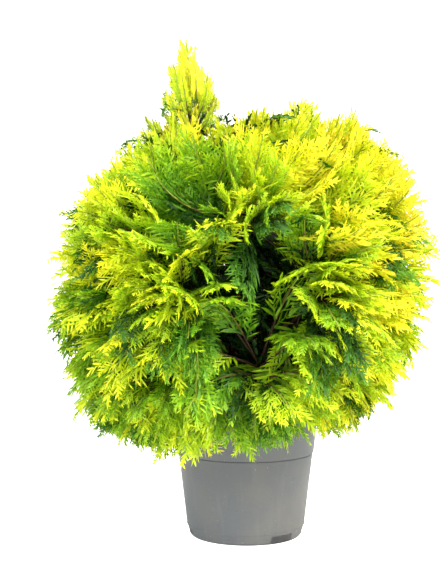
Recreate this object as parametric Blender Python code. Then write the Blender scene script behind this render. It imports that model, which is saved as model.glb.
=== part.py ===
# Golden globe arborvitae in a round nursery pot.
# Lengths are in metres, +Z is up, and the origin is the centre of the pot's flat underside.
# The plant faces the viewer along -Y, with +X to the viewer's right.

import math
import random

import bmesh
import bpy
from mathutils import Vector

# Pot: a tapering injection-moulded tub with a proud rim band and a chamfered foot
POT_HEIGHT = 0.115
POT_FOOT_RADIUS = 0.0532
POT_CHAMFER_HEIGHT = 0.0105
POT_CHAMFER_RADIUS = 0.0566
POT_SHOULDER_HEIGHT = 0.0795
POT_SHOULDER_RADIUS = 0.0650
POT_BAND_STEP = 0.0010
POT_RIM_RADIUS = 0.0694
POT_LIP_RADIUS = 0.0708
POT_LIP_HEIGHT = 0.0028
POT_WALL = 0.0015
POT_FLOOR = 0.0020
POT_SIDES = 48

# Underside: a flat pad in the middle and a foot ring, with a shallow drainage channel between
PAD_RADIUS = 0.030
CHANNEL_DEPTH = 0.0008
FOOT_RING_WIDTH = 0.0045

# Drain notches cut through the corner of wall and floor
NOTCH_COUNT = 3
NOTCH_FIRST_DEG = 37.0
NOTCH_WIDTH = 0.029
NOTCH_HEIGHT = 0.0084
NOTCH_DEPTH = 0.0150

# Compost, a little below the rim and domed towards the stem
SOIL_GAP = 0.0004
SOIL_EDGE_HEIGHT = 0.1020
SOIL_TOP_HEIGHT = 0.1070
SOIL_COLLAR_RADIUS = 0.016

# Main stem
CLEARANCE = 0.0003
STEM_FOOT_RADIUS = 0.0115
STEM_NECK_RADIUS = 0.0066
STEM_TIP_RADIUS = 0.0019
STEM_FLARE_HEIGHT = 0.016
STEM_SIDES = 8
STEM_STEPS = 10
STEM_BEND = Vector((-0.020, -0.016, 0.215))
STEM_TIP = Vector((-0.0480, -0.0450, 0.3350))

# Boughs
BOUGH_SIDES = 5
BOUGH_STEPS = 3
BOUGH_STEM_SHARE = 0.42
BOUGH_TAPER = 0.58
BOUGH_ARCH = 0.16

# Crown: a squarish globe round its centre
CROWN_CENTRE = Vector((-0.004, 0.000, 0.240))
GLOBE_RADIUS = 0.187
GLOBE_HALF_HEIGHT = 0.168
GLOBE_POWER = 2.7
GLOBE_LEAN = 0.10
CROWN_FLOOR = 0.060
CORE_SHARE = 0.62
CORE_RADIUS = 0.033
CORE_LUMP = 0.18
CORE_CLEAR = 1.18
CELL_GAP = 0.0006
SEED = 48

# Tiers of foliage masses, bottom to top. Azimuth 0 faces the viewer and grows to the right.
# fork: heights of the first and last fork on the main stem. droop: how strongly the sprays' tips turn down,
# below zero where they turn up. splay: the widest angle between a spray and the mass's own axis.
TIERS = (
    dict(name="skirt", count=7, first_deg=10, elevation_deg=-42, fork=(0.124, 0.148), droop=0.90, splay=86),
    dict(name="belly", count=6, first_deg=33, elevation_deg=-6, fork=(0.152, 0.178), droop=0.60, splay=86),
    dict(name="shoulder", count=6, first_deg=2, elevation_deg=27, fork=(0.182, 0.212), droop=-0.45, splay=86),
)

# Plumes that stand out of the globe's top: where each one's highest tip is, and the width of its spindle
PLUMES = {
    "leader": dict(tip=Vector((-0.0590, 0.0040, 0.4955)), spindle=0.030, fork=None),
    "left_plume": dict(tip=Vector((-0.1060, 0.0150, 0.4200)), spindle=0.028, fork=0.228),
    "right_plume": dict(tip=Vector((0.0674, 0.0200, 0.4445)), spindle=0.030, fork=0.250),
    "far_right_plume": dict(tip=Vector((0.1110, -0.0450, 0.4180)), spindle=0.030, fork=0.222),
    "front_crest": dict(tip=Vector((0.0160, -0.0750, 0.4150)), spindle=0.034, fork=0.234),
    "back_crest": dict(tip=Vector((0.0050, 0.0850, 0.4250)), spindle=0.038, fork=0.264),
}
PLUME_DROOP = -0.60
PLUME_SPLAY = 60
PLUME_TAPER = 0.45
PLUME_CORE_SHARE = 0.58
LEADER_CORE_SHARE = 0.34

# Sprays: flat toothed blades, a few to each mass
SPRAYS_PER_MASS = 6
SPRAYS_PER_PLUME = 5
SPRAY_PLACES = 26
SPRAY_TEETH = 3
SPRAY_WIDTH_SHARE = 0.66
PLUME_WIDTH_SHARE = 0.50
SPRAY_THICKNESS = 0.0013
SPRAY_STALK_WIDTH = 0.0030
SPRAY_LONGEST = 0.125
SPRAY_SHORTEST = 0.030
SPRAY_TRIES = ((1.0, 1.0), (1.0, 0.75), (0.90, 0.85), (0.80, 0.80), (0.70, 0.80))
SPRAY_BEND = 0.50
SPRAY_STRAY = 0.35
GOLDEN_ANGLE = math.radians(137.508)

# Openings in the crown's front, where the photograph looks past the outer sprays
WINDOWS = (
    dict(centre=Vector((0.004, -0.165, 0.205)), radius=0.034),
    dict(centre=Vector((-0.046, -0.150, 0.330)), radius=0.026),
)

# Colours: base colour, roughness, metallic
FINISHES = {
    "pot_plastic": ((0.205, 0.212, 0.220), 0.55, 0.0),
    "compost": ((0.030, 0.020, 0.013), 0.95, 0.0),
    "bark": ((0.150, 0.062, 0.034), 0.85, 0.0),
    "foliage": ((0.330, 0.470, 0.030), 0.60, 0.0),
}


def clear_scene():
    for obj in list(bpy.data.objects):
        bpy.data.objects.remove(obj)


def finish(name):
    material = bpy.data.materials.get(name)
    if material:
        return material
    colour, roughness, metallic = FINISHES[name]
    material = bpy.data.materials.new(name)
    material.use_nodes = True
    shader = material.node_tree.nodes["Principled BSDF"]
    shader.inputs["Base Color"].default_value = (*colour, 1.0)
    shader.inputs["Roughness"].default_value = roughness
    shader.inputs["Metallic"].default_value = metallic
    material.diffuse_color = (*colour, 1.0)
    return material


def add_mesh(name, points, faces, finish_name=None):
    mesh = bpy.data.meshes.new(name)
    mesh.from_pydata([tuple(p) for p in points], [], faces)
    mesh.validate()
    shape = bmesh.new()
    shape.from_mesh(mesh)
    bmesh.ops.recalc_face_normals(shape, faces=shape.faces)
    shape.to_mesh(mesh)
    shape.free()
    obj = bpy.data.objects.new(name, mesh)
    bpy.context.scene.collection.objects.link(obj)
    if finish_name:
        mesh.materials.append(finish(finish_name))
    return obj


def shade_round(obj, angle_deg=35):
    obj.data.shade_smooth()
    obj.data.set_sharp_from_angle(angle=math.radians(angle_deg))


def apply_boolean(obj, cutter, operation, solver="EXACT", collection=None):
    """Adds one Boolean to obj and applies it."""
    modifier = obj.modifiers.new(operation.title(), "BOOLEAN")
    modifier.operation = operation
    modifier.solver = solver
    if collection:
        modifier.operand_type = "COLLECTION"
        modifier.collection = collection
    else:
        modifier.object = cutter
    bpy.context.view_layer.update()
    graph = bpy.context.evaluated_depsgraph_get()
    joined = bpy.data.meshes.new_from_object(obj.evaluated_get(graph))
    obj.modifiers.clear()
    obj.data = joined


def side_axes(direction):
    """Two unit vectors square to a direction and to each other."""
    helper = Vector((0, 0, 1)) if abs(direction.z) < 0.9 else Vector((1, 0, 0))
    first = direction.cross(helper).normalized()
    return first, direction.cross(first).normalized()


def turned(name, profile, sides, finish_name):
    """A body turned round Z from (radius, height) points, which start and end on the axis."""
    points, rings = [], []
    for radius, height in profile:
        if radius == 0:
            rings.append([len(points)])
            points.append((0, 0, height))
            continue
        rings.append(list(range(len(points), len(points) + sides)))
        for i in range(sides):
            angle = math.tau * i / sides
            points.append((radius * math.cos(angle), radius * math.sin(angle), height))
    faces = []
    for low, high in zip(rings, rings[1:]):
        for i in range(sides):
            j = (i + 1) % sides
            if len(low) == 1:
                faces.append((low[0], high[i], high[j]))
            elif len(high) == 1:
                faces.append((low[i], high[0], low[j]))
            else:
                faces.append((low[i], low[j], high[j], high[i]))
    return add_mesh(name, points, faces, finish_name)


def tube(name, path, radii, sides, finish_name=None):
    """A closed tapering tube along a path."""
    points = []
    first = side_axes((path[1] - path[0]).normalized())[0]
    for i, centre in enumerate(path):
        ahead = path[min(i + 1, len(path) - 1)] - path[max(i - 1, 0)]
        direction = ahead.normalized()
        first = (first - direction * first.dot(direction)).normalized()
        second = direction.cross(first)
        for k in range(sides):
            angle = math.tau * k / sides
            points.append(centre + radii[i] * (first * math.cos(angle) + second * math.sin(angle)))
    faces = [tuple(range(sides)), tuple(range(len(points) - sides, len(points)))]
    for i in range(len(path) - 1):
        for k in range(sides):
            low, high = i * sides, (i + 1) * sides
            faces.append((low + k, low + (k + 1) % sides, high + (k + 1) % sides, high + k))
    return add_mesh(name, points, faces, finish_name)


def bezier(start, middle, end, steps):
    """Points on a quadratic curve that leaves start towards middle and reaches end from it."""
    shares = [i / steps for i in range(steps + 1)]
    return [start * (1 - s) ** 2 + middle * 2 * s * (1 - s) + end * s * s for s in shares]


# Pot and compost

def pot_wall_radius(height):
    """Outer radius of the pot's wall at a height, without the rim's band."""
    share = (height - POT_CHAMFER_HEIGHT) / (POT_SHOULDER_HEIGHT - POT_CHAMFER_HEIGHT)
    return POT_CHAMFER_RADIUS + share * (POT_SHOULDER_RADIUS - POT_CHAMFER_RADIUS)


def make_pot():
    edge = 0.0008
    band_foot = POT_SHOULDER_RADIUS + POT_BAND_STEP
    lip_foot = POT_HEIGHT - POT_LIP_HEIGHT
    inner_foot = POT_CHAMFER_RADIUS - POT_WALL - 0.0010
    ring_inner = POT_FOOT_RADIUS - FOOT_RING_WIDTH
    profile = [
        (0, 0),
        (PAD_RADIUS, 0),
        (PAD_RADIUS + edge, CHANNEL_DEPTH),
        (ring_inner, CHANNEL_DEPTH),
        (ring_inner + edge, 0),
        (POT_FOOT_RADIUS - edge, 0),
        (POT_FOOT_RADIUS, edge),
        (POT_CHAMFER_RADIUS, POT_CHAMFER_HEIGHT),
        (POT_SHOULDER_RADIUS, POT_SHOULDER_HEIGHT),
        (band_foot, POT_SHOULDER_HEIGHT + POT_BAND_STEP),
        (POT_RIM_RADIUS, lip_foot - edge),
        (POT_LIP_RADIUS, lip_foot),
        (POT_LIP_RADIUS, POT_HEIGHT - edge),
        (POT_LIP_RADIUS - edge, POT_HEIGHT),
        (POT_RIM_RADIUS - POT_WALL, POT_HEIGHT),
        (POT_SHOULDER_RADIUS - POT_WALL, POT_SHOULDER_HEIGHT),
        (inner_foot, POT_FLOOR),
        (0, POT_FLOOR),
    ]
    pot = turned("pot", profile, POT_SIDES, "pot_plastic")
    for i in range(NOTCH_COUNT):
        cutter = notch_cutter(math.radians(NOTCH_FIRST_DEG + i * 360 / NOTCH_COUNT))
        # EXACT leaves no faces of this thin wall
        apply_boolean(pot, cutter, "DIFFERENCE", "MANIFOLD")
        bpy.data.objects.remove(cutter)
    shade_round(pot)
    return pot


def notch_cutter(azimuth):
    """A block with a sloping roof that opens the corner of wall and floor."""
    outward = Vector((math.sin(azimuth), -math.cos(azimuth), 0))
    along = Vector((math.cos(azimuth), math.sin(azimuth), 0))
    far = POT_CHAMFER_RADIUS + 0.006
    near = POT_CHAMFER_RADIUS - NOTCH_DEPTH
    below = -0.004
    half = NOTCH_WIDTH / 2
    section = ((near, below), (far, below), (far, NOTCH_HEIGHT), (near, NOTCH_HEIGHT - 0.0012))
    points = [
        outward * r + along * side * half * (0.82 if z > 0 else 1.0) + Vector((0, 0, z))
        for side in (-1, 1)
        for r, z in section
    ]
    faces = [(0, 1, 2, 3), (7, 6, 5, 4)]
    faces += [(i, (i + 1) % 4, 4 + (i + 1) % 4, 4 + i) for i in range(4)]
    return add_mesh("notch_cutter", points, faces)


def soil_radius(height):
    return pot_wall_radius(height) - POT_WALL - SOIL_GAP - 0.0004


def make_soil():
    foot = POT_FLOOR + SOIL_GAP
    foot_radius = POT_CHAMFER_RADIUS - POT_WALL - 0.0010 - SOIL_GAP - 0.0004
    shoulder = soil_radius(POT_SHOULDER_HEIGHT)
    brim = shoulder + (SOIL_EDGE_HEIGHT - POT_SHOULDER_HEIGHT) * 0.085
    profile = [
        (0, foot),
        (foot_radius, foot),
        (shoulder, POT_SHOULDER_HEIGHT),
        (brim, SOIL_EDGE_HEIGHT),
        (brim - 0.018, SOIL_EDGE_HEIGHT + 0.0022),
        (SOIL_COLLAR_RADIUS, SOIL_TOP_HEIGHT),
        (0, SOIL_TOP_HEIGHT),
    ]
    return turned("compost", profile, POT_SIDES, "compost")


# Main stem and boughs

def stem_path():
    foot = Vector((0.002, 0.000, SOIL_TOP_HEIGHT + CLEARANCE))
    return bezier(foot, STEM_BEND, STEM_TIP, STEM_STEPS)


def stem_radius(height):
    """The flare's radius near the foot, then an even taper to the tip."""
    rise = height - SOIL_TOP_HEIGHT
    flare = (STEM_FOOT_RADIUS - STEM_NECK_RADIUS) * math.exp(-rise / (STEM_FLARE_HEIGHT * 0.35))
    share = rise / (STEM_TIP.z - SOIL_TOP_HEIGHT)
    return flare + STEM_NECK_RADIUS + share * (STEM_TIP_RADIUS - STEM_NECK_RADIUS)


def stem_solid(name, extra, finish_name=None):
    path = stem_path()
    foot = path[0]
    path.insert(1, foot + Vector((0, 0, STEM_FLARE_HEIGHT * 0.18)))
    path.insert(2, foot + Vector((0, 0, STEM_FLARE_HEIGHT * 0.50)))
    radii = [stem_radius(p.z) + extra for p in path]
    if extra:
        path[0] = foot - Vector((0, 0, 0.002))
    return tube(name, path, radii, STEM_SIDES, finish_name)


def stem_point(height):
    """The centre of the main stem at a height."""
    path = stem_path()
    for low, high in zip(path, path[1:]):
        if low.z <= height <= high.z:
            return low.lerp(high, (height - low.z) / (high.z - low.z))
    return path[-1]


def bough_curve(mass):
    """From the middle of the main stem, rising a little, out to where the mass begins."""
    start, end = mass["fork"], mass["bough_tip"]
    arch = Vector((0, 0, BOUGH_ARCH * (end - start).length))
    return bezier(start, start.lerp(end, 0.5) + arch, end, BOUGH_STEPS)


def bough_radius(mass, share):
    root = BOUGH_STEM_SHARE * stem_radius(mass["fork"].z)
    return root * (1 - share * (1 - BOUGH_TAPER))


def make_bough(mass, cutter):
    path = bough_curve(mass)
    radii = [bough_radius(mass, i / BOUGH_STEPS) for i in range(BOUGH_STEPS + 1)]
    bough = tube("bough_" + mass["name"], path, radii, BOUGH_SIDES, "bark")
    apply_boolean(bough, cutter, "DIFFERENCE")
    shade_round(bough, 50)
    return bough


# Crown: where the masses are

def heading(azimuth_deg, elevation_deg):
    azimuth, elevation = math.radians(azimuth_deg), math.radians(elevation_deg)
    level = math.cos(elevation)
    return Vector((math.sin(azimuth) * level, -math.cos(azimuth) * level, math.sin(elevation)))


def globe_measure(point):
    """Under 1 inside the crown's globe and over 1 outside. The globe leans: low on the left, high on the right."""
    x, y, z = point - CROWN_CENTRE
    z -= GLOBE_LEAN * x
    across = (math.hypot(x, y) / GLOBE_RADIUS) ** GLOBE_POWER
    return across + (abs(z) / GLOBE_HALF_HEIGHT) ** GLOBE_POWER


def spindle_measure(point, mass):
    """Under 1 inside a plume's spindle, which runs from its core to its tip."""
    if mass["spindle"] is None:
        return 2.0
    axis = mass["tip"] - mass["core"]
    middle = mass["core"] + axis * 0.5
    along = (point - middle).dot(axis.normalized())
    aside = ((point - middle) - axis.normalized() * along).length
    share = along / (axis.length * 0.5)
    taper = 1 - PLUME_TAPER * max(-1.0, min(1.0, share))
    return share ** 2 + (aside / (mass["spindle"] * taper)) ** 2


def crown_reach(start, direction, mass):
    """How far a straight line runs from start before it leaves the crown."""
    step = 0.002
    reach = 0.0
    while reach < 0.3:
        point = start + direction * (reach + step)
        if min(globe_measure(point), spindle_measure(point, mass)) > 1 or point.z < CROWN_FLOOR:
            return reach
        reach += step
    return reach


def tier_masses():
    masses = []
    for tier in TIERS:
        low, high = tier["fork"]
        for i in range(tier["count"]):
            azimuth = tier["first_deg"] + 360 * i / tier["count"]
            direction = heading(azimuth, tier["elevation_deg"])
            reach = crown_reach(CROWN_CENTRE, direction, dict(spindle=None))
            turn = (i * 5) % tier["count"] / (tier["count"] - 1)
            masses.append(dict(
                name=f"{tier['name']}_{i + 1}",
                tip=CROWN_CENTRE + direction * reach,
                core=CROWN_CENTRE + direction * reach * CORE_SHARE,
                fork=stem_point(low + (high - low) * turn),
                spindle=None,
                droop=tier["droop"],
                splay=tier["splay"],
                count=SPRAYS_PER_MASS,
                width=SPRAY_WIDTH_SHARE,
            ))
    return masses


def plume_masses():
    masses = []
    for name, plume in PLUMES.items():
        tip = plume["tip"]
        leads = plume["fork"] is None
        masses.append(dict(
            name=name,
            tip=tip,
            core=STEM_TIP.lerp(tip, LEADER_CORE_SHARE) if leads else CROWN_CENTRE.lerp(tip, PLUME_CORE_SHARE),
            fork=STEM_TIP if leads else stem_point(plume["fork"]),
            spindle=plume["spindle"],
            droop=PLUME_DROOP,
            splay=PLUME_SPLAY,
            count=SPRAYS_PER_PLUME,
            width=PLUME_WIDTH_SHARE,
        ))
    return masses


def plan_masses():
    """Every mass, with its number and the place where its bough ends."""
    masses = tier_masses() + plume_masses()
    for number, mass in enumerate(masses):
        mass["number"] = number
        mass["leads"] = mass["name"] == "leader"
        inward = (mass["fork"] - mass["core"]).normalized()
        mass["bough_tip"] = STEM_TIP if mass["leads"] else mass["core"] + inward * CORE_RADIUS * CORE_CLEAR
    return masses


def in_cell(point, mass, masses):
    """True where the point is nearer to this mass's core than to any other's, by a small gap."""
    for other in masses:
        if other is mass:
            continue
        apart = other["core"] - mass["core"]
        middle = (other["core"] + mass["core"]) / 2
        if (point - middle).dot(apart.normalized()) > -CELL_GAP:
            return False
    return True


def clear_of_pot(point):
    if point.z > POT_HEIGHT + 0.003:
        return True
    return math.hypot(point.x, point.y) > POT_LIP_RADIUS + 0.002


def clear_of_limbs(point, limbs):
    """True where the point keeps off the main stem and every bough."""
    for path, radius in limbs:
        for a, b in zip(path, path[1:]):
            span = b - a
            share = max(0.0, min(1.0, (point - a).dot(span) / span.length_squared))
            if (point - a - span * share).length < radius + 0.0012:
                return False
    return True


def in_window(point):
    return any((point - w["centre"]).length < w["radius"] for w in WINDOWS)


# Sprays: the rule that places them, and the toothed blade that each one is

def spray_rule(mass):
    """Where the mass's sprays start and which way each one heads and faces, root to tip of its stem."""
    draw = random.Random(SEED + mass["number"])
    axis = (mass["tip"] - mass["core"]).normalized()
    first, second = side_axes(axis)
    turn = draw.uniform(0, math.tau)
    sprays = []
    for k in range(SPRAY_PLACES):
        share = (k + 0.5) / SPRAY_PLACES
        angle = turn + k * GOLDEN_ANGLE + draw.uniform(-0.25, 0.25)
        spread = math.radians(mass["splay"] * (1 - share) ** 0.8 + 3 + draw.uniform(-5, 5))
        aside = first * math.cos(angle) + second * math.sin(angle)
        direction = (axis * math.cos(spread) + aside * math.sin(spread)).normalized()
        start = mass["core"] + axis * CORE_RADIUS * (share - 0.5) * 0.8
        reach = crown_reach(start, direction, mass) * draw.uniform(0.90, 1.02)
        length = max(SPRAY_SHORTEST, min(SPRAY_LONGEST, reach))
        tip = start + direction * length
        outward = (tip - CROWN_CENTRE).normalized()
        stray = SPRAY_STRAY * Vector([draw.uniform(-1, 1) for _ in range(3)])
        flow = (outward + direction * 0.5 + stray - Vector((0, 0, mass["droop"]))).normalized()
        face = outward + Vector((0, 0, 0.35)) + 0.55 * Vector([draw.uniform(-1, 1) for _ in range(3)])
        sprays.append(dict(
            start=start,
            direction=direction,
            flow=flow,
            across=flow.cross(face).normalized(),
            length=length,
            width=mass["width"],
        ))
    return sprays


def spray_point(spray, along, aside, lift):
    """A point of the spray's curved sheet, by its distance along, beside and above the spray's axis.

    The axis leaves the core one way and bends until it ends in line with the crown's outward flow.
    """
    length = spray["length"]
    share = along / length
    tip = spray["start"] + spray["direction"] * length
    bend = tip - spray["flow"] * length * SPRAY_BEND
    centre = spray["start"] * (1 - share) ** 2 + bend * 2 * share * (1 - share) + tip * share * share
    slope = ((bend - spray["start"]) * (1 - share) + (tip - bend) * share).normalized()
    across = (spray["across"] - slope * spray["across"].dot(slope)).normalized()
    return centre + across * aside + across.cross(slope) * lift


def blade_outline(spray):
    """The spine's pairs of notches and the pointed teeth beside them, as (along, aside)."""
    length = spray["length"]
    stalk = CORE_RADIUS * 0.80 / length
    half = length * spray["width"] / 2
    notches, teeth = [], []
    for k in range(SPRAY_TEETH + 1):
        share = k / SPRAY_TEETH
        along = length * (stalk + (0.90 - stalk) * share)
        notch = SPRAY_STALK_WIDTH / 2 + half * 0.20 * math.sin(math.pi * (0.15 + 0.75 * share))
        notches.append((along, notch))
        if k < SPRAY_TEETH:
            middle = (k + 0.5) / SPRAY_TEETH
            swell = math.sin(math.pi * (0.30 + 0.58 * middle))
            forward = length * (0.90 - stalk) / SPRAY_TEETH * 1.18
            teeth.append((min(along + forward, length * 0.96), half * swell))
    return notches, teeth


def blade_mesh(name, spray):
    """A closed toothed blade: a spine strip, a tooth on each side of every stretch and a pointed tip."""
    notches, teeth = blade_outline(spray)
    flat = [(0.0, SPRAY_STALK_WIDTH / 2), (0.0, -SPRAY_STALK_WIDTH / 2)]
    strips, spikes = [], []
    for along, aside in notches:
        flat += [(along, aside), (along, -aside)]
    flat.append((spray["length"], 0.0))
    tip = len(flat) - 1
    for along, aside in teeth:
        flat += [(along, aside), (along, -aside)]
    for k in range(len(notches)):
        low = 2 * k
        strips += [(low, low + 1, low + 3), (low, low + 3, low + 2)]
    strips.append((tip - 2, tip - 1, tip))
    for k in range(len(teeth)):
        low, high, tooth = 2 * (k + 1), 2 * (k + 2), tip + 1 + 2 * k
        spikes += [(low, high, tooth), (low + 1, tooth + 1, high + 1)]
    outline = [0]
    for k in range(len(notches)):
        outline.append(2 * (k + 1))
        if k < len(teeth):
            outline.append(tip + 1 + 2 * k)
    outline.append(tip)
    for k in reversed(range(len(notches))):
        if k < len(teeth):
            outline.append(tip + 2 + 2 * k)
        outline.append(2 * (k + 1) + 1)
    outline.append(1)
    half = SPRAY_THICKNESS / 2
    points = [spray_point(spray, a, s, half) for a, s in flat]
    points += [spray_point(spray, a, s, -half) for a, s in flat]
    count = len(flat)
    faces = [f for f in strips + spikes]
    faces += [tuple(count + i for i in reversed(f)) for f in strips + spikes]
    for a, b in zip(outline, outline[1:] + outline[:1]):
        faces += [(a, b, count + b), (a, count + b, count + a)]
    return add_mesh(name, points, faces)


def blade_probes(spray):
    """Points all over a blade, for testing where it lies."""
    notches, teeth = blade_outline(spray)
    flat = [(spray["length"], 0.0)]
    spine = CORE_RADIUS * 0.9
    while spine < spray["length"]:
        flat.append((spine, 0.0))
        spine += 0.008
    for (along, aside), (notch_along, notch_aside) in zip(teeth, notches):
        for share in (0.35, 0.7, 1.0):
            a = notch_along + (along - notch_along) * share
            s = notch_aside + (aside - notch_aside) * share
            flat += [(a, s), (a, -s)]
    return [spray_point(spray, a, s, 0.0) for a, s in flat]


def fitted_spray(spray, mass, masses, limbs):
    """The spray at the largest size that keeps to the mass's own space, or None."""
    for longer, wider in SPRAY_TRIES:
        tried = dict(spray, length=spray["length"] * longer, width=spray["width"] * wider)
        if tried["length"] < SPRAY_SHORTEST:
            return None
        probes = blade_probes(tried)
        if all(
            in_cell(p, mass, masses) and clear_of_pot(p) and clear_of_limbs(p, limbs) and not in_window(p)
            for p in probes
        ):
            return tried
    return None


def spray_tip(spray):
    return spray_point(spray, spray["length"], 0.0, 0.0)


def spaced_sprays(sprays, mass):
    """The sprays of a mass whose tips stand furthest apart, from the one nearest the mass's own tip."""
    kept = [min(sprays, key=lambda s: (spray_tip(s) - mass["tip"]).length)]
    while len(kept) < min(mass["count"], len(sprays)):
        rest = [s for s in sprays if s not in kept]
        kept.append(max(rest, key=lambda s: min((spray_tip(s) - spray_tip(k)).length for k in kept)))
    return kept


def core_radius(mass, direction, masses):
    """The core's radius one way: lumpy, and short of the mass's own space and of every limb."""
    draw = math.sin(direction.x * 5.1 + mass["number"]) * math.sin(direction.y * 4.3) + math.sin(direction.z * 6.1)
    radius = CORE_RADIUS * (1 + CORE_LUMP * draw * 0.5)
    for other in masses:
        if other is mass:
            continue
        apart = other["core"] - mass["core"]
        facing = direction.dot(apart.normalized())
        if facing > 0:
            radius = min(radius, (apart.length / 2 - CELL_GAP) / facing - 0.0005)
    return radius


def make_core(mass, masses):
    """The dense inner lump of a mass."""
    shape = bmesh.new()
    bmesh.ops.create_icosphere(shape, subdivisions=2, radius=1.0)
    points = [v.co.normalized() for v in shape.verts]
    faces = [tuple(v.index for v in f.verts) for f in shape.faces]
    shape.free()
    placed = [mass["core"] + p * core_radius(mass, p, masses) for p in points]
    return add_mesh("mass_" + mass["name"], placed, faces, "foliage")


def make_mass_stem(mass):
    """The stem that carries on from the bough's tip into the core."""
    limb = stem_path() if mass["leads"] else bough_curve(mass)
    direction = (limb[-1] - limb[-2]).normalized()
    radius = STEM_TIP_RADIUS if mass["leads"] else bough_radius(mass, 1.0)
    start = mass["bough_tip"] + direction * CLEARANCE
    bend = start + direction * 2 * radius
    return tube("stem", [start, bend, bend.lerp(mass["core"], 0.95)], [radius, radius, radius * 0.8], 4)


def make_mass(mass, masses, limbs):
    """One joined solid: the core, the stem into it and the sprays that stand out of it."""
    core = make_core(mass, masses)
    others = bpy.data.collections.new("parts_of_" + mass["name"])
    bpy.context.scene.collection.children.link(others)
    added = [make_mass_stem(mass)]
    fitted = [fitted_spray(spray, mass, masses, limbs) for spray in spray_rule(mass)]
    for number, spray in enumerate(spaced_sprays([s for s in fitted if s], mass)):
        added.append(blade_mesh(f"spray_{number}", spray))
    for obj in added:
        bpy.context.scene.collection.objects.unlink(obj)
        others.objects.link(obj)
    apply_boolean(core, None, "UNION", "MANIFOLD", others)
    for obj in added:
        bpy.data.objects.remove(obj)
    bpy.data.collections.remove(others)
    print(core.name, len(added) - 1, "sprays", sum(len(p.vertices) - 2 for p in core.data.polygons), "triangles")
    return core


def main():
    clear_scene()
    make_pot()
    make_soil()
    stem = stem_solid("main_stem", 0.0, "bark")
    shade_round(stem, 50)
    masses = plan_masses()
    limbs = [(stem_path(), STEM_NECK_RADIUS)]
    cutter = stem_solid("stem_cutter", CLEARANCE)
    for mass in masses:
        if not mass["leads"]:
            make_bough(mass, cutter)
            limbs.append((bough_curve(mass), bough_radius(mass, 0.0)))
    bpy.data.objects.remove(cutter)
    for mass in masses:
        make_mass(mass, masses, limbs)


main()
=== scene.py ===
import math
import random

import bpy
import numpy as np
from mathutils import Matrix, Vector


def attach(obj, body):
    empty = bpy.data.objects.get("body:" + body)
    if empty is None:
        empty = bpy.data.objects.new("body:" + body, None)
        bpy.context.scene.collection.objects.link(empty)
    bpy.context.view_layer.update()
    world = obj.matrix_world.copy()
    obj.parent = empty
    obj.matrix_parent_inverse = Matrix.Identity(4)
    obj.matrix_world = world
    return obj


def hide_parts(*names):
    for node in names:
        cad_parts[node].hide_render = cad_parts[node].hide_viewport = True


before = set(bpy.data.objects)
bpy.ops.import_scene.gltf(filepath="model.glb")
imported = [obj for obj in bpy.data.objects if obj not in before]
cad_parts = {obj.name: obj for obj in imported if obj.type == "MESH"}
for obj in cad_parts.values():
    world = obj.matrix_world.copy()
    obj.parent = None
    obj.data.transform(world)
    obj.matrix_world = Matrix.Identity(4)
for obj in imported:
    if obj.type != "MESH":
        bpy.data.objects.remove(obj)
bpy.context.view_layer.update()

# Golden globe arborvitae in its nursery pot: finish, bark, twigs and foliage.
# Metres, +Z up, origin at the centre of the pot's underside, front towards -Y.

# the photograph was taken level, from about a metre away, with a slightly long lens
camera = {
    "place": (-0.0248, -0.95, 0.2316),
    "lens": 60.0,
    "sensor": 36.0,              # on the frame's long side
}

# the crown's globe and the rule that places its masses and boughs, as in the part's source
crown = {
    "centre": Vector((-0.004, 0.000, 0.240)),
    "radius": 0.187,
    "halfHeight": 0.168,
    "power": 2.7,
    "lean": 0.10,
    "floor": 0.060,
    "farthest": 0.3,             # no spray reaches further than this
    "coreShare": 0.62,
    "plumeCoreShare": 0.58,
    "leaderCoreShare": 0.34,
    "coreRadius": 0.033,
    "coreClear": 1.18,
    "plumeTaper": 0.45,          # how much slimmer than its middle a plume is at its tip
    "splay": 86,                 # in degrees, from a mass's axis to the sprays at its foot
    "plumeSplay": 60,
    "narrowest": 3,
    "splayPower": 0.8,
    "splayJitter": 5,
    "angleJitter": 0.25,         # in radians, round the axis
    "coreSpan": 0.8,             # how far the sprays' feet are spread along it, in core radii
    "plumeDroop": -0.60,
    "boughArch": 0.16,           # how high a bough bows, as a share of its length
    "boughStemShare": 0.42,      # a bough's foot radius, as a share of the stem's there
    "boughTaper": 0.42,
    "seed": 48,
}

mainStem = {
    "foot": Vector((0.002, 0.000, 0.1073)),
    "bend": Vector((-0.020, -0.016, 0.215)),
    "tip": Vector((-0.0480, -0.0450, 0.3350)),
    "footRadius": 0.0115,
    "neckRadius": 0.0066,
    "tipRadius": 0.0019,
    "flareHeight": 0.0056,
}

# droop: how strongly sprays turn down at their tips, below zero where they turn up
tiers = (
    {"name": "skirt", "count": 7, "first": 10, "elevation": -42, "forks": (0.124, 0.148), "droop": 0.90},
    {"name": "belly", "count": 6, "first": 33, "elevation": -6, "forks": (0.152, 0.178), "droop": 0.60},
    {"name": "shoulder", "count": 6, "first": 2, "elevation": 27, "forks": (0.182, 0.212), "droop": -0.45},
)

plumes = {
    "leader": {"tip": Vector((-0.0590, 0.0040, 0.4955)), "spindle": 0.030, "fork": None},
    "left_plume": {"tip": Vector((-0.1060, 0.0150, 0.4200)), "spindle": 0.028, "fork": 0.228},
    "right_plume": {"tip": Vector((0.0674, 0.0200, 0.4445)), "spindle": 0.030, "fork": 0.250},
    "far_right_plume": {"tip": Vector((0.1110, -0.0450, 0.4180)), "spindle": 0.030, "fork": 0.222},
    "front_crest": {"tip": Vector((0.0160, -0.0750, 0.4150)), "spindle": 0.034, "fork": 0.234},
    "back_crest": {"tip": Vector((0.0050, 0.0850, 0.4250)), "spindle": 0.038, "fork": 0.264},
}


# helpers for meshes and materials

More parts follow.
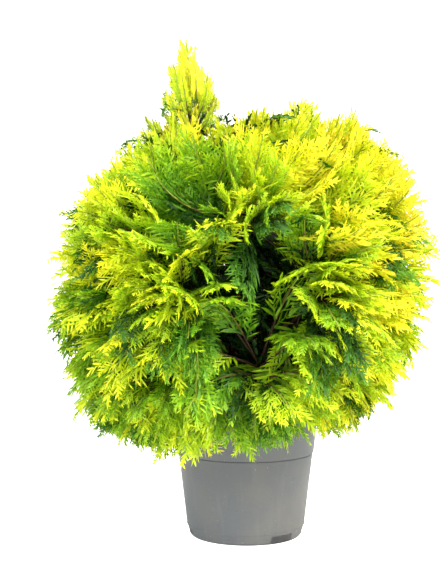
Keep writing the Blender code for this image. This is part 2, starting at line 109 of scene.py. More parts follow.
def makeMesh(name, points, faces, material=None, smooth=True):
    mesh = bpy.data.meshes.new(name)
    mesh.from_pydata([tuple(p) for p in points], [], faces)
    mesh.update()
    if smooth:
        mesh.shade_smooth()
    if material:
        mesh.materials.append(material)
    obj = bpy.data.objects.new(name, mesh)
    bpy.context.scene.collection.objects.link(obj)
    return obj


# triangles straight from arrays, with a material number for each
def makeTriangles(name, points, triangles, slots, materials):
    mesh = bpy.data.meshes.new(name)
    mesh.vertices.add(len(points))
    mesh.vertices.foreach_set("co", np.asarray(points, dtype=np.float32).ravel())
    mesh.loops.add(len(triangles) * 3)
    mesh.loops.foreach_set("vertex_index", np.asarray(triangles, dtype=np.int32).ravel())
    mesh.polygons.add(len(triangles))
    mesh.polygons.foreach_set("loop_start", np.arange(0, len(triangles) * 3, 3, dtype=np.int32))
    for material in materials:
        mesh.materials.append(material)
    mesh.polygons.foreach_set("material_index", np.asarray(slots, dtype=np.int32))
    mesh.update(calc_edges=True)
    obj = bpy.data.objects.new(name, mesh)
    bpy.context.scene.collection.objects.link(obj)
    return obj


def newMaterial(name, colour, roughness=0.6, specular=0.5):
    material = bpy.data.materials.new(name)
    material.use_nodes = True
    shader = material.node_tree.nodes["Principled BSDF"]
    shader.inputs["Base Color"].default_value = (*colour, 1.0)
    shader.inputs["Roughness"].default_value = roughness
    shader.inputs["Specular IOR Level"].default_value = specular
    material.diffuse_color = (*colour, 1.0)
    return material


def addNode(tree, kind, label=None, **settings):
    node = tree.nodes.new(kind)
    if label:
        node.label = label
    for key, value in settings.items():
        setattr(node, key, value)
    return node


# speckled noise with a threshold, shared by pot, compost and bark
def grainGroup():
    tree = bpy.data.node_groups.new("grain", "ShaderNodeTree")
    for name, value in (("Scale", 400.0), ("Cut", 0.62), ("Softness", 0.08)):
        socket = tree.interface.new_socket(name, in_out="INPUT", socket_type="NodeSocketFloat")
        socket.default_value = value
    socket = tree.interface.new_socket("Stretch", in_out="INPUT", socket_type="NodeSocketVector")
    socket.default_value = (1, 1, 1)
    tree.interface.new_socket("Mask", in_out="OUTPUT", socket_type="NodeSocketFloat")
    tree.interface.new_socket("Value", in_out="OUTPUT", socket_type="NodeSocketFloat")
    inside = addNode(tree, "NodeGroupInput")
    outside = addNode(tree, "NodeGroupOutput")
    place = addNode(tree, "ShaderNodeNewGeometry")
    stretched = addNode(tree, "ShaderNodeVectorMath", operation="MULTIPLY")
    noise = addNode(tree, "ShaderNodeTexNoise", noise_dimensions="3D")
    noise.inputs["Detail"].default_value = 4.0
    upper = addNode(tree, "ShaderNodeMath", operation="ADD")
    ramp = addNode(tree, "ShaderNodeMapRange", interpolation_type="SMOOTHSTEP")
    link = tree.links.new
    link(place.outputs["Position"], stretched.inputs[0])
    link(inside.outputs["Stretch"], stretched.inputs[1])
    link(stretched.outputs[0], noise.inputs["Vector"])
    link(inside.outputs["Scale"], noise.inputs["Scale"])
    link(noise.outputs["Fac"], ramp.inputs["Value"])
    link(inside.outputs["Cut"], ramp.inputs["From Min"])
    link(inside.outputs["Cut"], upper.inputs[0])
    link(inside.outputs["Softness"], upper.inputs[1])
    link(upper.outputs[0], ramp.inputs["From Max"])
    link(ramp.outputs["Result"], outside.inputs["Mask"])
    link(noise.outputs["Fac"], outside.inputs["Value"])
    return tree


def useGrain(tree, scale, cut, softness, stretch=(1, 1, 1), label=None):
    node = addNode(tree, "ShaderNodeGroup", label)
    node.node_tree = bpy.data.node_groups["grain"]
    node.inputs["Scale"].default_value = scale
    node.inputs["Cut"].default_value = cut
    node.inputs["Softness"].default_value = softness
    node.inputs["Stretch"].default_value = stretch
    return node


def mixColour(tree, mask, base, top, strength=1.0):
    mix = addNode(tree, "ShaderNodeMix", data_type="RGBA", blend_type="MIX")
    factor = addNode(tree, "ShaderNodeMath", operation="MULTIPLY")
    factor.inputs[1].default_value = strength
    tree.links.new(mask, factor.inputs[0])
    tree.links.new(factor.outputs[0], mix.inputs["Factor"])
    for value, socket in ((base, mix.inputs["A"]), (top, mix.inputs["B"])):
        if isinstance(value, tuple):
            socket.default_value = (*value, 1.0)
        else:
            tree.links.new(value, socket)
    return mix.outputs["Result"]


def addBump(tree, height, strength, distance):
    bump = addNode(tree, "ShaderNodeBump")
    bump.inputs["Strength"].default_value = strength
    bump.inputs["Distance"].default_value = distance
    tree.links.new(height, bump.inputs["Height"])
    return bump.outputs["Normal"]


grainGroup()
print("helpers ready")


# camera, studio and lights

studio = {
    "floorColour": (0.92, 0.92, 0.92),
    "worldStrength": 0.27,
    "floorGlow": 0.24,
    "paperWhite": 1.0,           # what the camera sees of the paper and the world behind it
    "sweepBack": 1.6,            # how far behind the plant the sweep starts to rise
    "sweepRadius": 0.9,
    "sweepFront": -3.0,
    "sweepTop": 4.0,
    "sweepReach": 5.0,           # to either side
    "sweepSteps": 12,
    "keyPower": 86.0,
    "fillPower": 44.0,
    "topPower": 40.0,
}


def makeCamera():
    data = bpy.data.cameras.new("camera")
    data.lens = camera["lens"]
    data.sensor_fit = "VERTICAL"
    data.sensor_height = camera["sensor"]
    obj = bpy.data.objects.new("camera", data)
    obj.location = camera["place"]
    obj.rotation_euler = (math.radians(90), 0, 0)
    bpy.context.scene.collection.objects.link(obj)
    bpy.context.scene.camera = obj


# a glow that is full for the camera and dim for the plant
def seenStrength(tree, dim):
    path = addNode(tree, "ShaderNodeLightPath")
    seen = addNode(tree, "ShaderNodeMapRange", "white for the camera")
    seen.inputs["To Min"].default_value = dim
    seen.inputs["To Max"].default_value = studio["paperWhite"]
    tree.links.new(path.outputs["Is Camera Ray"], seen.inputs["Value"])
    return seen.outputs["Result"]


# a pale floor that curves up into the background
def makeSweep():
    profile = [(studio["sweepFront"], 0.0), (studio["sweepBack"], 0.0)]
    for i in range(1, studio["sweepSteps"] + 1):
        turn = math.radians(90 * i / studio["sweepSteps"])
        back = studio["sweepBack"] + studio["sweepRadius"] * math.sin(turn)
        profile.append((back, studio["sweepRadius"] * (1 - math.cos(turn))))
    profile.append((profile[-1][0], studio["sweepTop"]))
    reach = studio["sweepReach"]
    points = [(x, y, z) for y, z in profile for x in (-reach, reach)]
    faces = [(2 * i, 2 * i + 1, 2 * i + 3, 2 * i + 2) for i in range(len(profile) - 1)]
    paper = newMaterial("studio_paper", studio["floorColour"], 0.9, 0.1)
    shader = paper.node_tree.nodes["Principled BSDF"]
    shader.inputs["Emission Color"].default_value = (1, 1, 1, 1)
    glow = seenStrength(paper.node_tree, studio["floorGlow"])
    paper.node_tree.links.new(glow, shader.inputs["Emission Strength"])
    sweep = makeMesh("studio_floor", points, faces, paper)


def addLight(name, place, aim, size, power, colour=(1, 1, 1)):
    data = bpy.data.lights.new(name, "AREA")
    data.shape = "DISK"
    data.size = size
    data.energy = power
    data.color = colour
    obj = bpy.data.objects.new(name, data)
    obj.location = place
    obj.rotation_euler = (Vector(aim) - Vector(place)).to_track_quat("-Z", "Y").to_euler()
    bpy.context.scene.collection.objects.link(obj)


def lightStudio():
    world = bpy.data.worlds.new("studio")
    bpy.context.scene.world = world
    world.use_nodes = True
    background = world.node_tree.nodes["Background"]
    background.inputs["Color"].default_value = (1, 1, 1, 1)
    strength = seenStrength(world.node_tree, studio["worldStrength"])
    world.node_tree.links.new(strength, background.inputs["Strength"])
    addLight("key light", (1.2, -1.2, 1.9), (0, 0, 0.25), 1.2, studio["keyPower"], (1.0, 0.98, 0.94))
    addLight("fill light", (-1.4, -1.3, 1.5), (0, 0, 0.22), 1.4, studio["fillPower"], (0.95, 0.98, 1.0))
    addLight("top light", (0.1, 0.5, 2.0), (0, 0, 0.3), 1.2, studio["topPower"])
    bpy.context.scene.view_settings.view_transform = "Standard"


makeCamera()
makeSweep()
lightStudio()
print("camera and studio ready")


# pot: the source's profile with rounded edges and many more sides

pot = {
    "height": 0.115,
    "footRadius": 0.0532,
    "chamferHeight": 0.0105,
    "chamferRadius": 0.0566,
    "shoulderHeight": 0.0795,
    "shoulderRadius": 0.0650,
    "bandStep": 0.0010,
    "rimRadius": 0.0694,
    "lipRadius": 0.0708,
    "lipHeight": 0.0028,
    "wall": 0.0015,
    "floor": 0.0020,
    "footInset": 0.0010,         # the inner foot stands in from the wall by this
    "edge": 0.0008,              # how far the rounded edges reach
    "channelRadius": 0.030,      # of the channel underneath, which runs out to the foot ring
    "ringWidth": 0.0045,
    "sharpAngle": 9,
    "sides": 192,
    "notches": 3,
    "firstNotch": 37.0,
    "notchWidth": 0.029,
    "notchHeight": 0.0084,
    "notchDepth": 0.0150,
    "notchPast": 0.006,          # how far the cutter goes on past the wall
    "notchBelow": -0.004,
    "notchFall": 0.0012,         # how much lower the notch's roof is inside
    "notchTaper": 0.82,          # its width at the roof, as a share of that below
    "colour": (0.122, 0.128, 0.134),
    "warmColour": (0.158, 0.152, 0.142),
    "dustColour": (0.46, 0.44, 0.40),
    "dirtColour": (0.050, 0.036, 0.026),
}


def turned(name, profile, sides, material):
    points, rings = [], []
    for radius, height in profile:
        count = 1 if radius == 0 else sides
        rings.append(list(range(len(points), len(points) + count)))
        for i in range(count):
            angle = math.tau * i / sides
            points.append((radius * math.cos(angle), radius * math.sin(angle), height))
    faces = []
    for low, high in zip(rings, rings[1:]):
        for i in range(sides):
            j = (i + 1) % sides
            if len(low) == 1:
                faces.append((low[0], high[j], high[i]))
            elif len(high) == 1:
                faces.append((low[i], low[j], high[0]))
            else:
                faces.append((low[i], low[j], high[j], high[i]))
    return makeMesh(name, points, faces, material)


def notchCutter(azimuth):
    outward = Vector((math.sin(azimuth), -math.cos(azimuth), 0))
    along = Vector((math.cos(azimuth), math.sin(azimuth), 0))
    far = pot["chamferRadius"] + pot["notchPast"]
    near = pot["chamferRadius"] - pot["notchDepth"]
    low, top = pot["notchBelow"], pot["notchHeight"]
    section = ((near, low), (far, low), (far, top), (near, top - pot["notchFall"]))
    points = []
    for side in (-1, 1):
        for r, z in section:
            half = pot["notchWidth"] / 2 * (pot["notchTaper"] if z > 0 else 1.0)
            points.append(outward * r + along * side * half + Vector((0, 0, z)))
    faces = [(3, 2, 1, 0), (4, 5, 6, 7)]
    faces += [(i, (i + 1) % 4, 4 + (i + 1) % 4, 4 + i) for i in range(4)]
    return makeMesh("notch", points, faces, smooth=False)


def potMaterial():
    material = newMaterial("grey pot plastic", pot["colour"], 0.52, 0.4)
    tree = material.node_tree
    shader = tree.nodes["Principled BSDF"]
    cloud = useGrain(tree, 16.0, 0.40, 0.30, label="warm clouds")
    streak = useGrain(tree, 160.0, 0.50, 0.25, (1, 1, 0.06), "moulding streaks")
    speck = useGrain(tree, 900.0, 0.70, 0.04, label="pale specks")
    dirt = useGrain(tree, 520.0, 0.69, 0.05, label="compost specks")
    fine = useGrain(tree, 2500.0, 0.3, 0.5, label="moulded grain")
    colour = mixColour(tree, cloud.outputs["Mask"], pot["colour"], pot["warmColour"], 0.8)
    colour = mixColour(tree, streak.outputs["Mask"], colour, pot["dustColour"], 0.045)
    colour = mixColour(tree, speck.outputs["Mask"], colour, pot["dustColour"], 0.8)
    colour = mixColour(tree, dirt.outputs["Mask"], colour, pot["dirtColour"], 0.75)
    tree.links.new(colour, shader.inputs["Base Color"])
    tree.links.new(addBump(tree, fine.outputs["Value"], 0.25, 0.0004), shader.inputs["Normal"])
    return material


def makePot():
    edge = pot["edge"]
    channel = pot["channelRadius"]
    ring = pot["footRadius"] - pot["ringWidth"]
    lipFoot = pot["height"] - pot["lipHeight"]
    profile = [
        (0, 0), (channel, 0), (channel + edge, edge), (ring, edge), (ring + edge, 0),
        (pot["footRadius"] - edge, 0), (pot["footRadius"], edge),
        (pot["chamferRadius"] - 0.0003, pot["chamferHeight"] - 0.0007),
        (pot["chamferRadius"] + 0.0003, pot["chamferHeight"]),
        (pot["chamferRadius"] + 0.0001, pot["chamferHeight"] + 0.0008),
        (pot["shoulderRadius"] - 0.0001, pot["shoulderHeight"] - 0.0016),
        (pot["shoulderRadius"] - 0.0006, pot["shoulderHeight"] - 0.0008),
        (pot["shoulderRadius"] - 0.0005, pot["shoulderHeight"]),
        (pot["shoulderRadius"] + 0.0008, pot["shoulderHeight"] + 0.0001),
        (pot["shoulderRadius"] + pot["bandStep"], pot["shoulderHeight"] + 0.0010),
        (pot["rimRadius"], lipFoot - edge), (pot["rimRadius"] + 0.0006, lipFoot - 0.0005),
        (pot["lipRadius"], lipFoot), (pot["lipRadius"], pot["height"] - edge),
        (pot["lipRadius"] - edge, pot["height"]), (pot["rimRadius"] - pot["wall"], pot["height"]),
        (pot["shoulderRadius"] - pot["wall"], pot["shoulderHeight"]),
        (pot["chamferRadius"] - pot["wall"] - pot["footInset"], pot["floor"]), (0, pot["floor"]),
    ]
    shell = turned("nursery_pot", profile, pot["sides"], potMaterial())
    for i in range(pot["notches"]):
        cutter = notchCutter(math.radians(pot["firstNotch"] + i * 360 / pot["notches"]))
        cut = shell.modifiers.new("notch", "BOOLEAN")
        cut.operation = "DIFFERENCE"
        cut.solver = "MANIFOLD"
        cut.object = cutter
        bpy.context.view_layer.update()
        graph = bpy.context.evaluated_depsgraph_get()
        shell.data = bpy.data.meshes.new_from_object(shell.evaluated_get(graph))
        shell.modifiers.clear()
        bpy.data.objects.remove(cutter)
    shell.data.shade_smooth()
    shell.data.set_sharp_from_angle(angle=math.radians(pot["sharpAngle"]))
    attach(shell, "root")
    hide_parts("pot")


makePot()
print("pot ready")


# compost: a crumbly dome, with loose crumbs on it

compost = {
    "edge": 0.1020,
    "top": 0.1068,
    "highest": 0.1069,           # no lump goes above this
    "domePower": 1.5,
    "gap": 0.0008,               # between the compost and the pot's wall and floor
    "wallSlope": 0.085,          # how much the pot widens as it rises
    "rings": 26,
    "sides": 90,
    "lump": 0.0011,
    "crumbs": 900,
    "crumbSizes": (0.0007, 0.0022),
    "colour": (0.034, 0.022, 0.014),
    "paleColour": (0.14, 0.095, 0.06),
}


def compostMaterial():
    material = newMaterial("moist compost", compost["colour"], 0.95, 0.2)
    tree = material.node_tree
    bark = useGrain(tree, 300.0, 0.60, 0.06, label="bark bits")
    fine = useGrain(tree, 900.0, 0.3, 0.5, label="crumb")
    colour = mixColour(tree, bark.outputs["Mask"], compost["colour"], compost["paleColour"], 0.8)
    tree.links.new(colour, tree.nodes["Principled BSDF"].inputs["Base Color"])
    normal = addBump(tree, fine.outputs["Value"], 0.8, 0.001)
    tree.links.new(normal, tree.nodes["Principled BSDF"].inputs["Normal"])
    return material


# the dome's height at a share of the way from its middle to its edge
def domeHeight(share):
    return compost["edge"] + (compost["top"] - compost["edge"]) * (1 - share ** compost["domePower"])


def makeCompost():
    draw = random.Random(crown["seed"] + 500)
    rise = compost["edge"] - pot["shoulderHeight"]
    brim = pot["shoulderRadius"] - pot["wall"] - compost["gap"] + rise * compost["wallSlope"]
    foot = pot["chamferRadius"] - pot["wall"] - pot["footInset"] - compost["gap"]
    points = [(0, 0, compost["top"])]
    for r in range(1, compost["rings"] + 1):
        share = r / compost["rings"]
        for k in range(compost["sides"]):
            angle = math.tau * k / compost["sides"]
            lump = 0 if r == compost["rings"] else draw.uniform(-1, 1) * compost["lump"]
            height = min(domeHeight(share) + lump, compost["highest"])
            radius = brim * share
            points.append((radius * math.cos(angle), radius * math.sin(angle), height))
    lower = ((brim - 0.002, pot["shoulderHeight"]), (foot, pot["floor"] + compost["gap"]))
    for radius, height in lower:
        for k in range(compost["sides"]):
            angle = math.tau * k / compost["sides"]
            points.append((radius * math.cos(angle), radius * math.sin(angle), height))
    sides = compost["sides"]
    faces = [(0, 1 + k, 1 + (k + 1) % sides) for k in range(sides)]
    for r in range(compost["rings"] + 1):
        low, high = 1 + r * sides, 1 + (r + 1) * sides
        for k in range(sides):
            after = (k + 1) % sides
            faces.append((low + k, high + k, high + after, low + after))
    last = 1 + (compost["rings"] + 1) * sides
    faces.append(tuple(last + k for k in reversed(range(sides))))
    base = len(points)
    for k in range(compost["crumbs"]):
        angle, share = draw.uniform(0, math.tau), math.sqrt(draw.uniform(0.03, 0.93))
        size = draw.uniform(*compost["crumbSizes"])
        height = domeHeight(share) - size * 0.2
        radius = brim * share
        centre = Vector((radius * math.cos(angle), radius * math.sin(angle), height))
        corners = [Vector([draw.uniform(-1, 1) for _ in range(3)]) * size for _ in range(4)]
        points += [centre + corner for corner in corners]
        for a, b, c in ((0, 1, 2), (0, 3, 1), (0, 2, 3), (1, 3, 2)):
            faces.append((base + a, base + b, base + c))
        base += 4
    soil = makeMesh("compost", points, faces, compostMaterial(), smooth=False)
    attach(soil, "root")
    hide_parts("compost")


makeCompost()
print("compost ready")


# limbs: where the masses are, and the boughs that reach them

def bezier(start, middle, end, steps):
    shares = [i / steps for i in range(steps + 1)]
    return [start * (1 - s) ** 2 + middle * 2 * s * (1 - s) + end * s * s for s in shares]


def stemPath(steps):
    return bezier(mainStem["foot"], mainStem["bend"], mainStem["tip"], steps)


def stemRadius(height):
    rise = height - mainStem["foot"].z
    flare = (mainStem["footRadius"] - mainStem["neckRadius"]) * math.exp(-rise / mainStem["flareHeight"])
    share = rise / (mainStem["tip"].z - mainStem["foot"].z)
    return flare + mainStem["neckRadius"] + share * (mainStem["tipRadius"] - mainStem["neckRadius"])


def stemPoint(height):
    path = stemPath(10)
    for low, high in zip(path, path[1:]):
        if low.z <= height <= high.z:
            return low.lerp(high, (height - low.z) / (high.z - low.z))
    return path[-1]


def globeMeasure(point):
    x, y, z = point - crown["centre"]
    z -= crown["lean"] * x
    across = (math.hypot(x, y) / crown["radius"]) ** crown["power"]
    return across + (abs(z) / crown["halfHeight"]) ** crown["power"]


def spindleMeasure(point, mass):
    if mass["spindle"] is None:
        return 2.0
    axis = mass["tip"] - mass["core"]
    away = point - mass["core"] - axis * 0.5
    along = away.dot(axis.normalized())
    aside = (away - axis.normalized() * along).length
    share = along / (axis.length * 0.5)
    taper = 1 - crown["plumeTaper"] * max(-1.0, min(1.0, share))
    return share ** 2 + (aside / (mass["spindle"] * taper)) ** 2


def crownReach(start, direction, mass):
    step, reach = 0.002, 0.0
    while reach < crown["farthest"]:
        point = start + direction * (reach + step)
        if min(globeMeasure(point), spindleMeasure(point, mass)) > 1 or point.z < crown["floor"]:
            return reach
        reach += step
    return reach


def planMasses():
    masses = []
    for tier in tiers:
        low, high = tier["forks"]
        for i in range(tier["count"]):
            azimuth = math.radians(tier["first"] + 360 * i / tier["count"])
            elevation = math.radians(tier["elevation"])
            level = math.cos(elevation)
            direction = Vector((math.sin(azimuth) * level, -math.cos(azimuth) * level, 0))
            direction.z = math.sin(elevation)
            reach = crownReach(crown["centre"], direction, {"spindle": None})
            turn = (i * 5) % tier["count"] / (tier["count"] - 1)
            masses.append({
                "name": f"{tier['name']}_{i + 1}",
                "tip": crown["centre"] + direction * reach,
                "core": crown["centre"] + direction * reach * crown["coreShare"],
                "fork": stemPoint(low + (high - low) * turn),
                "spindle": None,
                "droop": tier["droop"],
                "splay": crown["splay"],
            })
    for name, plume in plumes.items():
        leads = plume["fork"] is None
        foot = mainStem["tip"] if leads else crown["centre"]
        masses.append({
            "name": name,
            "tip": plume["tip"],
            "core": foot.lerp(plume["tip"], crown["leaderCoreShare" if leads else "plumeCoreShare"]),
            "fork": mainStem["tip"] if leads else stemPoint(plume["fork"]),
            "spindle": plume["spindle"],
            "droop": crown["plumeDroop"],
            "splay": crown["plumeSplay"],
        })
    for number, mass in enumerate(masses):
        mass["number"] = number
        mass["leads"] = mass["name"] == "leader"
        inward = (mass["fork"] - mass["core"]).normalized()
        clear = crown["coreRadius"] * crown["coreClear"]
        mass["boughTip"] = mainStem["tip"] if mass["leads"] else mass["core"] + inward * clear
    return masses


def boughCurve(mass, steps):
    start, end = mass["fork"], mass["boughTip"]
    arch = Vector((0, 0, crown["boughArch"] * (end - start).length))
    return bezier(start, start.lerp(end, 0.5) + arch, end, steps)


def boughRadius(mass, share):
    return crown["boughStemShare"] * stemRadius(mass["fork"].z) * (1 - share * crown["boughTaper"])


bark = {
    "colour": (0.165, 0.070, 0.038),
    "paleColour": (0.300, 0.170, 0.095),
    "darkColour": (0.060, 0.028, 0.018),
    "relief": 0.10,              # depth of the fissures as a share of the radius
    "ridgeMemory": 0.8,          # how much of a ridge goes on from ring to ring
    "ridgeChange": 0.35,
    "sides": 14,
    "steps": 16,
    "stemSides": 28,
    "stemSteps": 60,
}


def barkMaterial():
    material = newMaterial("red brown bark", bark["colour"], 0.85, 0.25)
    tree = material.node_tree
    strip = useGrain(tree, 700.0, 0.52, 0.14, (1, 1, 0.12), "peeling strips")
    fissure = useGrain(tree, 420.0, 0.58, 0.10, (1, 1, 0.10), "fissures")
    colour = mixColour(tree, strip.outputs["Mask"], bark["colour"], bark["paleColour"], 0.7)
    colour = mixColour(tree, fissure.outputs["Mask"], colour, bark["darkColour"], 0.8)
    tree.links.new(colour, tree.nodes["Principled BSDF"].inputs["Base Color"])
    normal = addBump(tree, strip.outputs["Value"], 0.6, 0.0006)
    tree.links.new(normal, tree.nodes["Principled BSDF"].inputs["Normal"])
    return material


# a closed tube with lengthwise ridges
def barkTube(path, radii, sides, draw):
    points, faces = [], []
    first = (path[1] - path[0]).normalized().orthogonal().normalized()
    ridges = [draw.uniform(-1, 1) for _ in range(sides)]
    for i, centre in enumerate(path):
        ahead = path[min(i + 1, len(path) - 1)] - path[max(i - 1, 0)]
        direction = ahead.normalized()
        first = (first - direction * first.dot(direction)).normalized()
        second = direction.cross(first)
        change = bark["ridgeChange"]
        ridges = [r * bark["ridgeMemory"] + draw.uniform(-change, change) for r in ridges]
        for k in range(sides):
            angle = math.tau * k / sides
            out = radii[i] * (1 + bark["relief"] * ridges[k])
            points.append(centre + out * (first * math.cos(angle) + second * math.sin(angle)))
    for i in range(len(path) - 1):
        for k in range(sides):
            low, high = i * sides, (i + 1) * sides
            faces.append((low + k, low + (k + 1) % sides, high + (k + 1) % sides, high + k))
    faces.append(tuple(reversed(range(sides))))
    faces.append(tuple(range(len(points) - sides, len(points))))
    return points, faces


def makeLimbs(masses):
    draw = random.Random(crown["seed"] + 900)
    material = barkMaterial()
    path = stemPath(bark["stemSteps"])
    points, faces = barkTube(path, [stemRadius(p.z) for p in path], bark["stemSides"], draw)
    stem = makeMesh("main_stem_bark", points, faces, material)
    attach(stem, "root")
    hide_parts("main_stem")
    for mass in masses:
        if mass["leads"]:
            continue
        path = boughCurve(mass, bark["steps"])
        radii = [boughRadius(mass, i / bark["steps"]) for i in range(bark["steps"] + 1)]
        points, faces = barkTube(path, radii, bark["sides"], draw)
        bough = makeMesh("bark_of_bough_" + mass["name"], points, faces, material)
        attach(bough, "root")
        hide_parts("bough_" + mass["name"])


masses = planMasses()
makeLimbs(masses)
print("stem and boughs ready")


# foliage: flat sprays, each grown from one of a few spray patterns

foliage = {
    "places": 42,                # outer sprays tried for each mass
    "inner": 20,                 # short sprays that fill each mass's middle, painted dark as its shade
    "hanging": 5,                # green sprays under each mass, painted a darker green as their shade
    "patterns": 8,
    "innerPatterns": 3,
    "golden": math.radians(137.508),
    "longest": 0.125,
    "shortest": 0.030,
    "reachRange": (0.90, 1.02),
    "fullness": 0.91,            # how much of the crown's reach a spray takes
    "strayEvery": 5,             # one spray in so many stands out further
    "strayFullness": 1.01,
    "plumeFullness": 0.92,       # a plume's sprays take only this share of that
    "innerFullness": 0.72,
    "hangingFullness": 0.90,
    "innerRange": (0.050, 0.090),
    "innerShortest": 0.020,
    "innerTurns": (0.8, -0.5),   # two in three turn inwards, and the third outwards
    "hangingRange": (0.070, 0.115),
    "hangingOpenness": 0.45,     # how much of a hollow the hanging sprays keep clear
    "hangingOutward": 0.85,
    "hangingDown": 0.80,
    "hangingStray": 0.45,
    "hangingSag": 1.2,           # how strongly their tips turn down
    "bend": 0.50,                # where a spray's axis bends, as a share of its length from the tip
    "stray": 0.35,               # how far the sprays' tips wander from the outward flow
    "curl": 1.2,                 # how far a spray's edges curl down
    "scatter": {"outer": 0.55, "inner": 1.5, "hanging": 0.9},
    "along": 0.5,                # how much of its first direction a spray's tip keeps
    "faceUp": 0.35,              # how far the sprays' faces turn up
    "clear": 0.004,              # above the pot's lip and beside it
    # hollows in the front where no outer spray lies: centre and radius
    "windows": (
        (Vector((0.002, -0.158, 0.190)), 0.047),
        (Vector((-0.002, -0.160, 0.158)), 0.032),
        (Vector((-0.014, -0.150, 0.118)), 0.026),
        (Vector((0.014, -0.155, 0.245)), 0.038),
        (Vector((-0.046, -0.150, 0.330)), 0.026),
    ),
    # plain colours from the near-black green of painted shade in the hollows to the golden tips
    "tones": (
        (0.006, 0.028, 0.003),
        (0.016, 0.068, 0.004),
        (0.042, 0.150, 0.004),
        (0.105, 0.275, 0.004),
        (0.225, 0.440, 0.005),
        (0.400, 0.600, 0.007),
        (0.600, 0.740, 0.010),
        (0.790, 0.830, 0.016),
        (0.930, 0.850, 0.026),
        (0.960, 0.760, 0.040),
    ),
    # the twigs' wood: a brown darker than the bark, as painted shade in the crown's middle, then olive and
    # green
    "twigTones": ((0.070, 0.032, 0.016), (0.170, 0.140, 0.030), (0.320, 0.380, 0.040)),
}

# how the tones are dealt, counted in steps of the tones above
toneRule = {
    "reach": 0.19,               # the crown's, outwards and to the side
    "rise": 0.20,                # and up and down
    "base": 1.8,
    "depth": 2.2,                # more golden towards the crown's outside: golden outer growth, with painted shade within, painted lighter on the right, where the light falls, and painted lighter on the top, lit from above
    "side": 1.6,                 # the sunny right
    "height": 1.8,               # and the top
    "shade": 2.2,                # darker round the hollows
    "shadeReach": 0.050,
    "spread": 1.5,
    "gain": 1.9,                 # from a spray's foot to its tip: golden young tips, and painted shade at the foot
    "middle": 0.6,               # where along a spray its own tone lies
    # the inner sprays' tones: the darkest, painted shade in each mass's middle
    "inner": (0.0, 1.6),
    "innerGain": 0.8,
    # the hanging sprays' tones: darker green, painted shade under the masses
    "hanging": (0.8, 2.6),
}

# one spray's branching: lengths are shares of the branch they grow on
spray = {
    "sideBranches": 15,
    "sideLength": 0.36,
    "branchlets": 11,
    "branchletLength": 0.42,
    "width": 0.0150,             # of a branchlet, as a share of the whole spray
    "forward": math.radians(37),
    "bareShare": 0.18,
    "branchedShare": 0.86,
    "tipShare": 0.74,
    "tipBranchlets": 8,
    "lift": 0.22,                # how far the branchlets' tips leave the flat, as a share of their length
    "roll": 0.6,
    "toneJitter": 0.16,
}

plumeSpray = dict(spray, sideLength=0.24, forward=math.radians(31))
innerSpray = dict(spray, sideBranches=9, branchlets=7, width=0.0260, bareShare=0.05)


# one pattern of a unit spray, along x and spread in y: x, y, angle, length, width and tone of each strip
def sprayPattern(seed, plan):
    draw = random.Random(seed)
    strips = []

    def strip(x, y, angle, length, width, tone):
        strips.append((x, y, angle, length, plan["width"] * width * draw.uniform(0.85, 1.15), tone))

    def sideBranch(x, y, side, length, tone):
        angle = side * plan["forward"] * draw.uniform(0.9, 1.2)
        curl = -side * draw.uniform(0.10, 0.45)
        middle = (x + math.cos(angle) * length * 0.5, y + math.sin(angle) * length * 0.5)
        strip(x, y, angle, length * 0.54, 0.9, tone - 0.3)
        strip(*middle, angle + curl, length * 0.64, 1.0, tone + 0.3)
        for k in range(plan["branchlets"]):
            share = 0.08 + 0.84 * k / (plan["branchlets"] - 1)
            px, py = x + math.cos(angle) * length * share, y + math.sin(angle) * length * share
            if share > 0.5:
                px = middle[0] + math.cos(angle + curl) * length * (share - 0.5)
                py = middle[1] + math.sin(angle + curl) * length * (share - 0.5)
            side = 1 if k % 2 else -1
            turn = angle + curl * share + side * plan["forward"] * draw.uniform(0.75, 1.15)
            part = length * plan["branchletLength"] * (1.12 - 0.75 * share) * draw.uniform(0.75, 1.3)
            strip(px, py, turn, part, 1.0, tone + 0.5 * share)

    count = plan["sideBranches"]
    for k in range(count):
        share = plan["bareShare"] + (plan["branchedShare"] - plan["bareShare"]) * k / count
        swell = math.sin(math.pi * (0.22 + 0.70 * share)) ** 0.8
        side = 1 if k % 2 else -1
        sideBranch(share, 0.0, side, plan["sideLength"] * swell * draw.uniform(0.7, 1.25), share)
    for k in range(plan["tipBranchlets"]):
        side = 1 if k % 2 else -1
        place, length = plan["tipShare"] + 0.028 * k, 0.10 - 0.008 * k
        strip(place, 0.0, side * draw.uniform(0.4, 0.6), length, 0.9, 1.0)
    strip(0.79, 0.0, 0.0, 0.24, 1.0, 1.1)
    return np.array(strips)


# the pattern as points and triangles of a unit spray: x along, y across, z above
def patternMesh(strips, draw):
    # each corner's share of the strip's length and half width, and each triangle's step in tone
    corners = ((0.0, 0.8), (0.0, -0.8), (0.55, 1.0), (0.55, -1.0), (1.0, 0.0))
    faces = np.array(((0, 1, 3), (0, 3, 2), (2, 3, 4)))
    steps = np.array((-0.16, -0.10, 0.22))
    x, y, angle, length, width, tone = strips.T
    forward = np.stack([np.cos(angle), np.sin(angle)], 1)
    aside = np.stack([-np.sin(angle), np.cos(angle)], 1)
    lift = draw.uniform(-1, 1, len(strips)) * length * spray["lift"]
    roll = draw.uniform(-1, 1, len(strips)) * width * spray["roll"]
    placed = np.zeros((len(strips), len(corners), 3))
    for n, (along, across) in enumerate(corners):
        placed[:, n, 0] = x
        placed[:, n, 1] = y
        placed[:, n, :2] += forward * (length * along)[:, None] + aside * (width * across / 2)[:, None]
        placed[:, n, 2] = lift * along + roll * across
    starts = np.arange(len(strips)) * len(corners)
    triangles = (starts[:, None, None] + faces[None]).reshape(-1, 3)
    level = tone + draw.uniform(-spray["toneJitter"], spray["toneJitter"], len(strips))
    return placed.reshape(-1, 3), triangles, (level[:, None] + steps).ravel()


